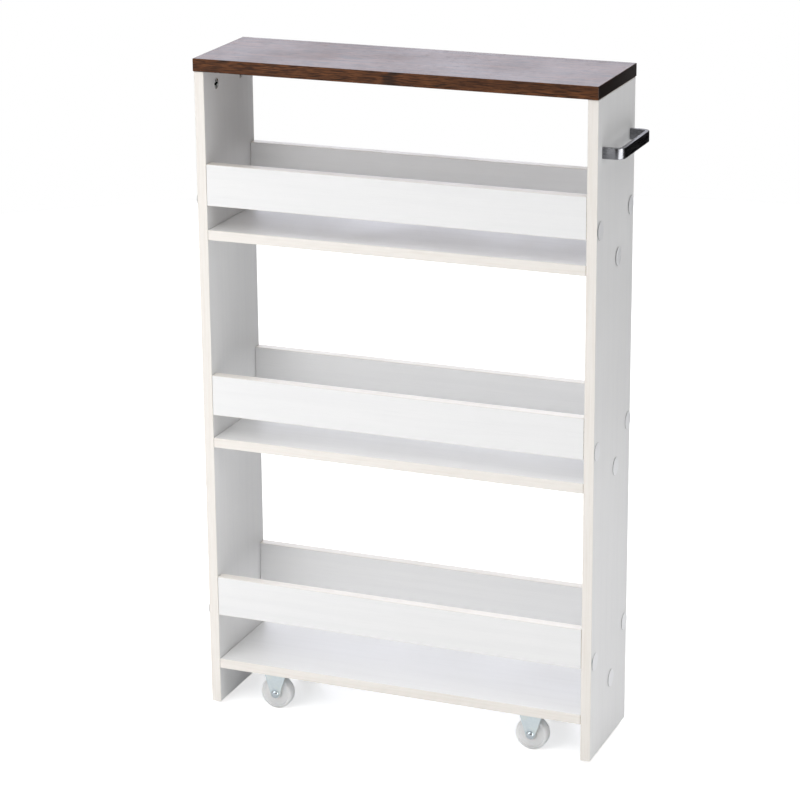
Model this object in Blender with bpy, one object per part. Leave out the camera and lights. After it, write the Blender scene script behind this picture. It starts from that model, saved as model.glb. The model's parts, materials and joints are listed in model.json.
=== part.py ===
"""Slim rolling pantry cart: laminated boards, a pull handle and four fixed casters.

Run it with: blender --background --python part.py

Metres, +Z up. The long side of the cart runs along X, its front faces -Y, and the
handle stands out of the +X end. The origin is on the floor, under the middle of the
whole cart with its handle. Touching pieces keep a gap of GAP between them.
"""

import math

import bmesh
import bpy
from mathutils import Matrix, Vector

GAP = 0.0003
WELD = 1e-6
PAST = 0.003  # how far a cutter reaches past the face that it opens
SMOOTH_BELOW = math.radians(35)  # flatter joins between faces are shaded smooth

# Boards
HEIGHT = 0.800
TOP_SIZE = Vector((0.484, 0.138, 0.015))
CABINET_WIDTH = 0.483
CABINET_DEPTH = 0.1345
BOARD = 0.012
PANEL_BOTTOM = 0.005
EDGE_RADIUS = 0.0005
RAIL_HEIGHT = 0.049
SHELF_BOTTOMS = {"upper": 0.587, "middle": 0.333, "bottom": 0.050}
RAIL_BOTTOMS = {"upper": 0.628, "middle": 0.3735, "bottom": 0.1195}

# Long screws through the side panels into the ends of the rails and shelves
SCREW_LENGTH = 0.038
SCREW_RADIUS = 0.0025
SCREW_HEAD_RADIUS = 0.0042
SCREW_HEAD_RIM = 0.0010
SCREW_HEAD_CONE = 0.0022
SCREW_SOCKET_RADIUS = 0.0020
SCREW_TIP = 0.0030
SCREW_TIP_RADIUS = 0.0006
RAIL_SCREW_RISE = 0.0085
SHELF_SCREW_Y = 0.010
SCREW_SIDES = 8

# Cam locks and their bolts, at the top board and at the bottom shelf
CAM_RADIUS = 0.006
CAM_DEPTH = 0.0092
CAM_RECESS = 0.0002
CAM_FACE = 0.0025
CAM_CHAMBER_RADIUS = 0.0042
CAM_SLOT_WIDTH = 0.0052
CAM_CROSS_LENGTH = 0.0098
CAM_CROSS_WIDTH = 0.0024
CAM_CROSS_DEPTH = 0.0021
CAM_FROM_EDGE = 0.020
CAM_Y = 0.0335
CAM_SIDES = 16
BOLT_THREAD_RADIUS = 0.0027
BOLT_THREAD_LENGTH = 0.0095
BOLT_COLLAR_RADIUS = 0.0034
BOLT_COLLAR_LENGTH = 0.0015
BOLT_SHAFT_RADIUS = 0.0025
BOLT_NECK_RADIUS = 0.0016
BOLT_NECK_LENGTH = 0.0040
BOLT_HEAD_RADIUS = 0.0029
BOLT_HEAD_LENGTH = 0.0024
BOLT_CHANNEL_RADIUS = 0.0038
BOLT_SIDES = 8

# Pull handle: a flat bar bent into a U, held by two screws from inside the panel
HANDLE_PROJECTION = 0.024
HANDLE_LENGTH = 0.105
HANDLE_BAR = 0.005
HANDLE_HEIGHT = 0.0126
HANDLE_BEND = 0.010
HANDLE_EDGE_RADIUS = 0.0004
HANDLE_CENTRE_Z = 0.7233
HANDLE_BEND_STEPS = 5
HANDLE_SCREW_RADIUS = 0.0015
HANDLE_SCREW_IN_BAR = 0.008
HANDLE_SCREW_HEAD_RADIUS = 0.0030
HANDLE_SCREW_HEAD = 0.0022
HANDLE_SCREW_HEAD_RIM = 0.0013
HANDLE_SCREW_CROWN_RADIUS = 0.0021
HANDLE_SCREW_CROSS = Vector((0.0034, 0.0007, 0.0010))

# Fixed casters: a stamped fork, a nylon wheel and a riveted axle
WHEEL_RADIUS = 0.020
WHEEL_WIDTH = 0.015
WHEEL_SHOULDER = 0.0015
WHEEL_RIM = 0.0034
WHEEL_RECESS = 0.0020
WHEEL_HUB_RADIUS = 0.0065
WHEEL_HUB_WIDTH = 0.016
WHEEL_BORE_RADIUS = 0.0031
WHEEL_SIDES = 28
CASTER_X = 0.1635
CASTER_Y = 0.043
FORK_SHEET = 0.0015
FORK_GAP = 0.0004
FORK_TOP_WIDTH = 0.029
FORK_TIP_RADIUS = 0.0058
FORK_TIP_STEPS = 8
PLATE_SIZE = Vector((0.048, 0.030, 0.0016))
PLATE_CORNER = 0.004
PLATE_CORNER_STEPS = 4
PLATE_HOLE = Vector((0.0185, 0.0095))
PLATE_HOLE_RADIUS = 0.0021
PLATE_SCREW_RADIUS = 0.0015
PLATE_SCREW_DEPTH = 0.008
AXLE_RADIUS = 0.0027
AXLE_HEAD_RADIUS = 0.0047
AXLE_HEAD_RIM = 0.0008
AXLE_HEAD_HEIGHT = 0.0025
AXLE_TAIL_RADIUS = 0.0040
AXLE_TAIL_RIM = 0.0007
AXLE_TAIL_HEIGHT = 0.0018
AXLE_DOME_STEPS = 3
AXLE_SIDES = 16

# Sizes that follow from the ones above
PANEL_TOP = HEIGHT - TOP_SIZE.z - GAP
CLEAR_HALF_WIDTH = CABINET_WIDTH / 2 - BOARD
SPAN = 2 * (CLEAR_HALF_WIDTH - GAP)
RAIL_Y = CABINET_DEPTH / 2 - BOARD / 2
AXLE_Z = WHEEL_RADIUS * math.cos(math.pi / WHEEL_SIDES)
HANDLE_SCREW_Y = HANDLE_LENGTH / 2 - HANDLE_BAR / 2
HANDLE_END_X = CABINET_WIDTH / 2 + HANDLE_PROJECTION
CABINET_X = (TOP_SIZE.x / 2 - HANDLE_END_X) / 2
SIDES = {"left": -1, "right": 1}
ENDS = {"front": -1, "back": 1}

X, Y, Z = Vector((1, 0, 0)), Vector((0, 1, 0)), Vector((0, 0, 1))

# Finish: colour, roughness, metallic
FINISHES = {
    "white_laminate": ((0.86, 0.85, 0.83), 0.42, 0.0),
    "walnut_laminate": ((0.115, 0.055, 0.032), 0.45, 0.0),
    "satin_nickel": ((0.42, 0.42, 0.43), 0.28, 1.0),
    "zinc_steel": ((0.70, 0.74, 0.76), 0.30, 1.0),
    "nylon": ((0.72, 0.72, 0.69), 0.38, 0.0),
}


def clear_scene():
    for obj in list(bpy.data.objects):
        bpy.data.objects.remove(obj, do_unlink=True)


def finish(name):
    """The material of this name, made the first time it is asked for."""
    if name in bpy.data.materials:
        return bpy.data.materials[name]
    colour, roughness, metallic = FINISHES[name]
    material = bpy.data.materials.new(name)
    material.use_nodes = True
    shader = material.node_tree.nodes["Principled BSDF"]
    shader.inputs["Base Color"].default_value = (*colour, 1.0)
    shader.inputs["Roughness"].default_value = roughness
    shader.inputs["Metallic"].default_value = metallic
    return material


def add_empty(name, parent=None, location=(0, 0, 0)):
    empty = bpy.data.objects.new(name, None)
    empty.parent = parent
    empty.location = location
    bpy.context.collection.objects.link(empty)
    return empty


def mesh_of(bm, name):
    mesh = bpy.data.meshes.new(name)
    bm.to_mesh(mesh)
    bm.free()
    return mesh


def add_object(name, mesh, parent, location=(0, 0, 0), finish_name=None):
    obj = bpy.data.objects.new(name, mesh)
    obj.parent = parent
    obj.location = location
    if finish_name and not mesh.materials:
        mesh.materials.append(finish(finish_name))
    bpy.context.collection.objects.link(obj)
    return obj


def towards(direction, origin=(0, 0, 0)):
    """The matrix that turns +Z to this direction and moves the origin to this place."""
    turn = Z.rotation_difference(direction).to_matrix().to_4x4()
    return Matrix.Translation(origin) @ turn


def axes_at(origin, x_axis, z_axis):
    """The matrix of a frame with these X and Z axes."""
    rows = Matrix((x_axis, z_axis.cross(x_axis), z_axis))
    return Matrix.Translation(origin) @ rows.transposed().to_4x4()


def turned(outline, sides, closed=False, matrix=None):
    """A solid of revolution about Z of an outline of (radius, height) points.

    An open outline starts and ends on the axis. A closed one goes round a bore.
    """
    bm = bmesh.new()
    points = [bm.verts.new((radius, 0, height)) for radius, height in outline]
    following = points[1:] + points[:1] if closed else points[1:]
    edges = [bm.edges.new(pair) for pair in zip(points, following)]
    bmesh.ops.spin(
        bm, geom=points + edges, axis=Z, cent=(0, 0, 0), angle=math.tau, steps=sides, use_merge=True
    )
    bmesh.ops.remove_doubles(bm, verts=bm.verts, dist=WELD)
    bmesh.ops.recalc_face_normals(bm, faces=bm.faces)
    if matrix:
        bm.transform(matrix)
    return bm


def rod(radius, low, high, sides, matrix=None):
    return turned([(0, low), (radius, low), (radius, high), (0, high)], sides, matrix=matrix)


def block(size, centre=(0, 0, 0)):
    bm = bmesh.new()
    bmesh.ops.create_cube(bm, size=1, matrix=Matrix.Translation(centre) @ Matrix.Diagonal((*size, 1)))
    return bm


def arc(centre, radius, start, end, steps):
    """Points on an arc in a plane, its angles in degrees."""
    turns = [math.radians(start + (end - start) * step / steps) for step in range(steps + 1)]
    return [(centre[0] + radius * math.cos(t), centre[1] + radius * math.sin(t)) for t in turns]


def prism(outline, thickness, matrix=None):
    """A flat outline in XY, given thickness along +Z."""
    bm = bmesh.new()
    face = bm.faces.new([bm.verts.new((u, v, 0)) for u, v in outline])
    sheet = bmesh.ops.extrude_face_region(bm, geom=[face])
    raised = [item for item in sheet["geom"] if isinstance(item, bmesh.types.BMVert)]
    bmesh.ops.translate(bm, verts=raised, vec=(0, 0, thickness))
    bmesh.ops.recalc_face_normals(bm, faces=bm.faces)
    if matrix:
        bm.transform(matrix)
    return bm


def joined(bodies):
    """One bmesh that holds all of these, which must stay clear of each other."""
    whole = bmesh.new()
    for body in bodies:
        mesh = mesh_of(body, "body")
        whole.from_mesh(mesh)
        bpy.data.meshes.remove(mesh)
    return whole


def combine(obj, operation, bodies):
    """A Boolean of obj with these bodies, which lie in the frame of obj's parent."""
    label = f"{obj.name}_{operation.lower()}_{len(obj.modifiers)}"
    tool = add_object(label, mesh_of(joined(bodies), label), obj.parent)
    tool.hide_render = True
    tool.display_type = "WIRE"
    modifier = obj.modifiers.new(label, "BOOLEAN")
    modifier.operation = operation
    modifier.object = tool


def cut(obj, bodies):
    combine(obj, "DIFFERENCE", bodies)


def ease_edges(obj, width):
    modifier = obj.modifiers.new("eased_edges", "BEVEL")
    modifier.width = width
    modifier.segments = 1
    modifier.limit_method = "ANGLE"


def smooth(mesh):
    mesh.shade_smooth()
    mesh.set_sharp_from_angle(angle=SMOOTH_BELOW)


def finished_mesh(obj):
    """The mesh of obj with its modifiers applied. obj and its Boolean tools are removed."""
    bpy.context.view_layer.update()
    mesh = bpy.data.meshes.new_from_object(obj.evaluated_get(bpy.context.evaluated_depsgraph_get()))
    tools = [modifier.object for modifier in obj.modifiers if modifier.type == "BOOLEAN"]
    for used in [obj, *tools]:
        bpy.data.objects.remove(used, do_unlink=True)
    return mesh


def board(name, size, centre, parent, finish_name="white_laminate"):
    obj = add_object(name, mesh_of(block(size), name), parent, centre, finish_name)
    ease_edges(obj, EDGE_RADIUS)
    return obj


# Screws


def long_screw_mesh():
    """A screw along -Z with its head at the origin."""
    neck = -SCREW_HEAD_RIM - SCREW_HEAD_CONE
    outline = [
        (0, -SCREW_HEAD_CONE),
        (SCREW_SOCKET_RADIUS, -SCREW_HEAD_CONE),
        (SCREW_SOCKET_RADIUS, 0),
        (SCREW_HEAD_RADIUS, 0),
        (SCREW_HEAD_RADIUS, -SCREW_HEAD_RIM),
        (SCREW_RADIUS, neck),
        (SCREW_RADIUS, SCREW_TIP - SCREW_LENGTH),
        (SCREW_TIP_RADIUS, -SCREW_LENGTH),
        (0, -SCREW_LENGTH),
    ]
    mesh = mesh_of(turned(outline, SCREW_SIDES), "long_screw")
    smooth(mesh)
    return mesh


def panel_screw_hole(matrix):
    """The countersunk hole that a long screw passes through. Its mouth is past the face."""
    wide = SCREW_HEAD_RADIUS + GAP
    narrow = SCREW_RADIUS + GAP
    seat = -SCREW_HEAD_RIM - SCREW_HEAD_CONE - 2 * GAP
    outline = [
        (0, PAST),
        (wide, PAST),
        (wide, -SCREW_HEAD_RIM - 2 * GAP),
        (narrow, seat),
        (narrow, -BOARD - PAST),
        (0, -BOARD - PAST),
    ]
    return turned(outline, SCREW_SIDES, matrix=matrix)


def end_pilot_holes(y, z):
    """The blind holes in a board's two ends that the long screws bite into."""
    depth = SCREW_LENGTH - BOARD + GAP
    ends = [towards(way * X, (way * SPAN / 2, y, z)) for way in SIDES.values()]
    return [rod(SCREW_RADIUS + GAP, -depth, PAST, SCREW_SIDES, matrix) for matrix in ends]


def rail_screw_places():
    """Tier, end of the cart and the screw's (y, z) for each rail."""
    for tier, bottom in RAIL_BOTTOMS.items():
        for end, way in ENDS.items():
            yield tier, end, (way * RAIL_Y, bottom + RAIL_SCREW_RISE)


def shelf_screw_places():
    for tier in ("upper", "middle"):
        yield tier, (SHELF_SCREW_Y, SHELF_BOTTOMS[tier] + BOARD / 2)


def add_long_screws(parent):
    mesh = long_screw_mesh()
    for side, way in SIDES.items():
        places = [(f"{tier}_rail_screw_{side}_{end}", at) for tier, end, at in rail_screw_places()]
        places += [(f"{tier}_shelf_screw_{side}", at) for tier, at in shelf_screw_places()]
        for name, (y, z) in places:
            head = Vector((way * (CABINET_WIDTH / 2 - GAP), y, z))
            screw = add_object(name, mesh, parent, head, "zinc_steel")
            screw.rotation_euler = towards(way * X).to_euler()


# Cam locks


def cam_lock_mesh(parent):
    """A cam along -Z, its cross-slotted face at the origin and its slot open towards +X."""
    barrel = mesh_of(rod(CAM_RADIUS, -CAM_DEPTH, 0, CAM_SIDES), "cam_lock")
    cam = add_object("cam_lock", barrel, parent, finish_name="zinc_steel")
    reach = 2 * CAM_RADIUS
    slot = block((reach, CAM_SLOT_WIDTH, reach), (reach / 2, 0, -CAM_FACE - reach / 2))
    cut(cam, [rod(CAM_CHAMBER_RADIUS, -reach, -CAM_FACE, CAM_SIDES)])
    cut(cam, [slot])
    cut(cam, [block((CAM_CROSS_LENGTH, CAM_CROSS_WIDTH, 2 * CAM_CROSS_DEPTH))])
    cut(cam, [block((CAM_CROSS_WIDTH, CAM_CROSS_LENGTH, 2 * CAM_CROSS_DEPTH))])
    return finished_mesh(cam)


def cam_bolt_mesh():
    """A bolt along Z: its thread rises from the joint at the origin, its head is below."""
    head = -CAM_FROM_EDGE - BOLT_HEAD_LENGTH / 2
    neck = -CAM_FROM_EDGE + BOLT_HEAD_LENGTH / 2
    outline = [
        (0, BOLT_THREAD_LENGTH),
        (BOLT_THREAD_RADIUS, BOLT_THREAD_LENGTH),
        (BOLT_THREAD_RADIUS, -GAP),
        (BOLT_COLLAR_RADIUS, -GAP),
        (BOLT_COLLAR_RADIUS, -GAP - BOLT_COLLAR_LENGTH),
        (BOLT_SHAFT_RADIUS, -GAP - BOLT_COLLAR_LENGTH),
        (BOLT_SHAFT_RADIUS, neck + BOLT_NECK_LENGTH),
        (BOLT_NECK_RADIUS, neck + BOLT_NECK_LENGTH),
        (BOLT_NECK_RADIUS, neck),
        (BOLT_HEAD_RADIUS, neck),
        (BOLT_HEAD_RADIUS, head),
        (0, head),
    ]
    mesh = mesh_of(turned(outline, BOLT_SIDES), "cam_bolt")
    smooth(mesh)
    return mesh


def cam_pocket(matrix):
    """The round pocket of a cam, its mouth past the face at the origin."""
    return rod(CAM_RADIUS + GAP, -CAM_DEPTH - 2 * GAP, PAST, CAM_SIDES, matrix)


def bolt_channel(matrix):
    """The hole from a board's edge at the origin, down to the middle of the cam pocket."""
    return rod(BOLT_CHANNEL_RADIUS, -CAM_FROM_EDGE, PAST, BOLT_SIDES, matrix)


def bolt_thread_hole(matrix):
    """The blind hole above the joint at the origin that the bolt's thread holds in."""
    return rod(BOLT_THREAD_RADIUS + GAP, -PAST, BOLT_THREAD_LENGTH + GAP, BOLT_SIDES, matrix)


def cam_frames():
    """For each joint: its name, the bolt's matrix, the cam's matrix.

    The bolt's +Z points into the board that it screws into. The cam's +X points along
    the bolt towards that board, and its +Z points out of the face that it is turned from.
    """
    joint_z = PANEL_TOP + GAP
    middle_x = CABINET_WIDTH / 2 - BOARD / 2
    for side, way in SIDES.items():
        for end, fore in ENDS.items():
            y = fore * CAM_Y
            bolt = towards(Z, (way * middle_x, y, joint_z))
            face = Vector((way * (CLEAR_HALF_WIDTH + CAM_RECESS), y, joint_z - CAM_FROM_EDGE))
            yield f"top_{side}_{end}", bolt, axes_at(face, Z, -way * X)

            shelf_z = SHELF_BOTTOMS["bottom"]
            bolt = towards(way * X, (way * CLEAR_HALF_WIDTH, y, shelf_z + BOARD / 2))
            face = Vector((way * (CLEAR_HALF_WIDTH - CAM_FROM_EDGE), y, shelf_z + CAM_RECESS))
            yield f"shelf_{side}_{end}", bolt, axes_at(face, way * X, -Z)


def add_cams(parent):
    cam_mesh = cam_lock_mesh(parent)
    bolt_mesh = cam_bolt_mesh()
    for name, bolt_at, cam_at in cam_frames():
        for kind, mesh, matrix in (("cam_lock", cam_mesh, cam_at), ("cam_bolt", bolt_mesh, bolt_at)):
            piece = add_object(f"{name}_{kind}", mesh, parent, matrix.translation, "zinc_steel")
            piece.rotation_euler = matrix.to_euler()


# Boards with their holes


def add_top(parent):
    centre = (0, 0, HEIGHT - TOP_SIZE.z / 2)
    top = board("top_panel", TOP_SIZE, centre, parent, "walnut_laminate")
    cut(top, [bolt_thread_hole(bolt) for name, bolt, cam in cam_frames() if name.startswith("top")])


def add_side_panel(side, way, parent):
    size = (BOARD, CABINET_DEPTH, PANEL_TOP - PANEL_BOTTOM)
    centre = (way * (CABINET_WIDTH - BOARD) / 2, 0, (PANEL_TOP + PANEL_BOTTOM) / 2)
    panel = board(f"{side}_side_panel", size, centre, parent)
    places = [at for tier, end, at in rail_screw_places()]
    places += [at for tier, at in shelf_screw_places()]
    outer_x = way * CABINET_WIDTH / 2
    cut(panel, [panel_screw_hole(towards(way * X, (outer_x, y, z))) for y, z in places])

    pockets, channels = [], []
    for name, bolt, cam in cam_frames():
        if name.startswith(f"top_{side}"):
            pockets.append(cam_pocket(cam))
            channels.append(bolt_channel(bolt))
        elif name.startswith(f"shelf_{side}"):
            pockets.append(bolt_thread_hole(bolt))
    cut(panel, pockets)
    cut(panel, channels)
    return panel


def add_shelf(tier, parent):
    centre = (0, 0, SHELF_BOTTOMS[tier] + BOARD / 2)
    shelf = board(f"{tier}_shelf", (SPAN, CABINET_DEPTH, BOARD), centre, parent)
    if tier == "bottom":
        frames = [(bolt, cam) for name, bolt, cam in cam_frames() if name.startswith("shelf")]
        cut(shelf, [cam_pocket(cam) for bolt, cam in frames])
        cut(shelf, [bolt_channel(bolt) for bolt, cam in frames])
        cut(shelf, caster_pilot_holes())
        return
    cut(shelf, end_pilot_holes(SHELF_SCREW_Y, centre[2]))


def add_rail(tier, end, parent):
    bottom = RAIL_BOTTOMS[tier]
    y = ENDS[end] * RAIL_Y
    centre = (0, y, bottom + RAIL_HEIGHT / 2)
    rail = board(f"{tier}_{end}_rail", (SPAN, BOARD, RAIL_HEIGHT), centre, parent)
    cut(rail, end_pilot_holes(y, bottom + RAIL_SCREW_RISE))


# Pull handle


def handle_outline():
    """The U of the handle seen from above, its feet at x = 0."""
    reach = HANDLE_PROJECTION - GAP
    half = HANDLE_LENGTH / 2
    inner_bend = HANDLE_BEND - HANDLE_BAR
    bend_x = reach - HANDLE_BEND
    bend_y = half - HANDLE_BEND
    outer = arc((bend_x, -bend_y), HANDLE_BEND, -90, 0, HANDLE_BEND_STEPS)
    outer += arc((bend_x, bend_y), HANDLE_BEND, 0, 90, HANDLE_BEND_STEPS)
    inner = arc((bend_x, bend_y), inner_bend, 90, 0, HANDLE_BEND_STEPS)
    inner += arc((bend_x, -bend_y), inner_bend, 0, -90, HANDLE_BEND_STEPS)
    back_foot = [(0, half), (0, half - HANDLE_BAR)]
    front_foot = [(0, HANDLE_BAR - half), (0, -half)]
    return outer + back_foot + inner + front_foot


def handle_screw_frames():
    """For each handle screw: its name and the matrix whose +Z runs from its head to the bar."""
    for end, way in ENDS.items():
        seat = Vector((CLEAR_HALF_WIDTH - GAP, way * HANDLE_SCREW_Y, HANDLE_CENTRE_Z))
        yield f"handle_screw_{end}", towards(X, seat)


def handle_screw_mesh(parent):
    """A pan-head screw along +Z, its head below the origin."""
    head = HANDLE_SCREW_HEAD
    tip = BOARD + 2 * GAP + HANDLE_SCREW_IN_BAR
    outline = [
        (0, -head),
        (HANDLE_SCREW_CROWN_RADIUS, -head),
        (HANDLE_SCREW_HEAD_RADIUS, -HANDLE_SCREW_HEAD_RIM),
        (HANDLE_SCREW_HEAD_RADIUS, 0),
        (HANDLE_SCREW_RADIUS, 0),
        (HANDLE_SCREW_RADIUS, tip),
        (0, tip),
    ]
    mesh = mesh_of(turned(outline, SCREW_SIDES), "handle_screw")
    screw = add_object("handle_screw", mesh, parent, finish_name="zinc_steel")
    length, width, depth = HANDLE_SCREW_CROSS
    for size in ((length, width, 2 * depth), (width, length, 2 * depth)):
        cut(screw, [block(size, (0, 0, -head))])
    return finished_mesh(screw)


def add_handle(parent, right_panel):
    foot_x = CABINET_WIDTH / 2 + GAP
    low_z = HANDLE_CENTRE_Z - HANDLE_HEIGHT / 2
    mesh = mesh_of(prism(handle_outline(), HANDLE_HEIGHT), "pull_handle")
    smooth(mesh)
    handle = add_object("pull_handle", mesh, parent, (foot_x, 0, low_z), "satin_nickel")
    ease_edges(handle, HANDLE_EDGE_RADIUS)

    frames = dict(handle_screw_frames())
    bore = HANDLE_SCREW_RADIUS + GAP
    past_tip = BOARD + 3 * GAP + HANDLE_SCREW_IN_BAR
    through = BOARD + PAST
    cut(handle, [rod(bore, BOARD - PAST, past_tip, SCREW_SIDES, matrix) for matrix in frames.values()])
    cut(right_panel, [rod(bore, -PAST, through, SCREW_SIDES, matrix) for matrix in frames.values()])
    screw_mesh = handle_screw_mesh(parent)
    for name, matrix in frames.items():
        screw = add_object(name, screw_mesh, parent, matrix.translation, "zinc_steel")
        screw.rotation_euler = matrix.to_euler()


# Casters, each in its own frame: the axle lies along Y through the origin


def wheel_mesh():
    rim_inside = WHEEL_RADIUS - WHEEL_RIM
    half, hub = WHEEL_WIDTH / 2, WHEEL_HUB_WIDTH / 2
    floor = half - WHEEL_RECESS
    shoulder = arc((WHEEL_RADIUS - WHEEL_SHOULDER, half - WHEEL_SHOULDER), WHEEL_SHOULDER, 0, 90, 1)
    face = [
        *shoulder,
        (rim_inside, half),
        (rim_inside - WHEEL_RECESS / 2, floor),
        (WHEEL_HUB_RADIUS, floor),
        (WHEEL_HUB_RADIUS, hub),
        (WHEEL_BORE_RADIUS, hub),
    ]
    mirrored = [(radius, -height) for radius, height in reversed(face)]
    half_step = Matrix.Rotation(math.pi / WHEEL_SIDES, 4, "Z")
    mesh = mesh_of(turned(face + mirrored, WHEEL_SIDES, True, towards(Y) @ half_step), "caster_wheel")
    smooth(mesh)
    return mesh


def dome(radius, rim, height):
    """Outline points of a domed rivet head, from the shank's seat out and up to the axis."""
    points = arc((0, 0), 1, 0, 90, AXLE_DOME_STEPS)
    curve = [(radius * u, rim + (height - rim) * v) for u, v in points[:-1]]
    return [(radius, 0), *curve, (0, height)]


def axle_mesh():
    """A rivet along +Z: a domed head at its top end and a smaller peened end."""
    seat = WHEEL_HUB_WIDTH / 2 + FORK_GAP + FORK_SHEET + GAP
    head = dome(AXLE_HEAD_RADIUS, AXLE_HEAD_RIM, AXLE_HEAD_HEIGHT)
    tail = dome(AXLE_TAIL_RADIUS, AXLE_TAIL_RIM, AXLE_TAIL_HEIGHT)
    outline = [(radius, -seat - rise) for radius, rise in reversed(tail)]
    outline += [(AXLE_RADIUS, -seat), (AXLE_RADIUS, seat)]
    outline += [(radius, seat + rise) for radius, rise in head]
    mesh = mesh_of(turned(outline, AXLE_SIDES), "caster_axle")
    smooth(mesh)
    return mesh


def cheek_outline(top):
    """The tapered cheek of the fork, round the axle at the origin and up to this height."""
    corner = Vector((FORK_TOP_WIDTH / 2, top))
    to_corner = math.degrees(math.atan2(corner.y, corner.x))
    start = to_corner - math.degrees(math.acos(FORK_TIP_RADIUS / corner.length))
    tip = arc((0, 0), FORK_TIP_RADIUS, start, -180 - start, FORK_TIP_STEPS)
    return tip + [(-corner.x, corner.y), (corner.x, corner.y)]


def plate_holes():
    """The four screw places of a caster's plate, from the middle of the plate."""
    return [(i * PLATE_HOLE.x, j * PLATE_HOLE.y) for i in (-1, 1) for j in (-1, 1)]


def bracket_mesh(parent):
    plate_top = SHELF_BOTTOMS["bottom"] - GAP - AXLE_Z
    plate_bottom = plate_top - PLATE_SIZE.z
    corner_x = PLATE_SIZE.x / 2 - PLATE_CORNER
    corner_y = PLATE_SIZE.y / 2 - PLATE_CORNER
    outline = []
    for start, i, j in ((0, 1, 1), (90, -1, 1), (180, -1, -1), (270, 1, -1)):
        centre = (i * corner_x, j * corner_y)
        outline += arc(centre, PLATE_CORNER, start, start + 90, PLATE_CORNER_STEPS)
    sheet = prism(outline, PLATE_SIZE.z, Matrix.Translation((0, 0, plate_bottom)))
    mesh = mesh_of(sheet, "caster_bracket")
    bracket = add_object("caster_bracket", mesh, parent, finish_name="zinc_steel")

    inside = WHEEL_HUB_WIDTH / 2 + FORK_GAP
    outline = cheek_outline(plate_bottom + PLATE_SIZE.z / 2)
    upright = Matrix.Rotation(math.radians(90), 4, "X")
    faces_y = (-inside, inside + FORK_SHEET)
    cheeks = [prism(outline, FORK_SHEET, Matrix.Translation((0, y, 0)) @ upright) for y in faces_y]
    combine(bracket, "UNION", cheeks)
    across = inside + 2 * FORK_SHEET
    cut(bracket, [rod(AXLE_RADIUS + GAP, -across, across, AXLE_SIDES, towards(Y))])
    low, high = plate_bottom - PAST, plate_top + PAST
    places = [towards(Z, (u, v, 0)) for u, v in plate_holes()]
    cut(bracket, [rod(PLATE_HOLE_RADIUS, low, high, SCREW_SIDES, place) for place in places])
    return finished_mesh(bracket)


def caster_places():
    for end, fore in ENDS.items():
        for side, way in SIDES.items():
            yield f"{end}_{side}", fore, Vector((way * CASTER_X, fore * CASTER_Y, AXLE_Z))


def caster_pilot_holes():
    """The small holes under the bottom shelf for the casters' screws."""
    face_z = SHELF_BOTTOMS["bottom"]
    holes = []
    for _, _, axle in caster_places():
        for u, v in plate_holes():
            at = (axle.x + u, axle.y + v, face_z)
            holes.append(rod(PLATE_SCREW_RADIUS, -PAST, PLATE_SCREW_DEPTH, SCREW_SIDES, towards(Z, at)))
    return holes


def add_casters(parent):
    wheel, axle, bracket = wheel_mesh(), axle_mesh(), bracket_mesh(parent)
    for name, fore, place in caster_places():
        caster = add_empty(f"caster_{name}", parent, place)
        add_object(f"caster_bracket_{name}", bracket, caster)
        add_object(f"caster_wheel_{name}", wheel, caster, finish_name="nylon")
        pin = add_object(f"caster_axle_{name}", axle, caster, finish_name="zinc_steel")
        pin.rotation_euler = towards(fore * Y).to_euler()


def build():
    clear_scene()
    cart = add_empty("cart", location=(CABINET_X, 0, 0))
    add_top(cart)
    panels = {side: add_side_panel(side, way, cart) for side, way in SIDES.items()}
    for tier in SHELF_BOTTOMS:
        add_shelf(tier, cart)
        for end in ENDS:
            add_rail(tier, end, cart)
    add_long_screws(cart)
    add_cams(cart)
    add_handle(cart, panels["right"])
    add_casters(cart)


build()
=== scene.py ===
"""The looks of a slim rolling pantry cart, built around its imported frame.

The boards, the long screws and the cam bolts are the frame's own nodes with finished
materials. The cam locks, the pull handle and the casters are replaced by finer pieces, and
the cover caps and the screws of the caster plates are added. Everything is in metres; the
cart's front faces -Y.
"""

import json
import math
import random

import bmesh
import bpy
from mathutils import Matrix, Vector

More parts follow.
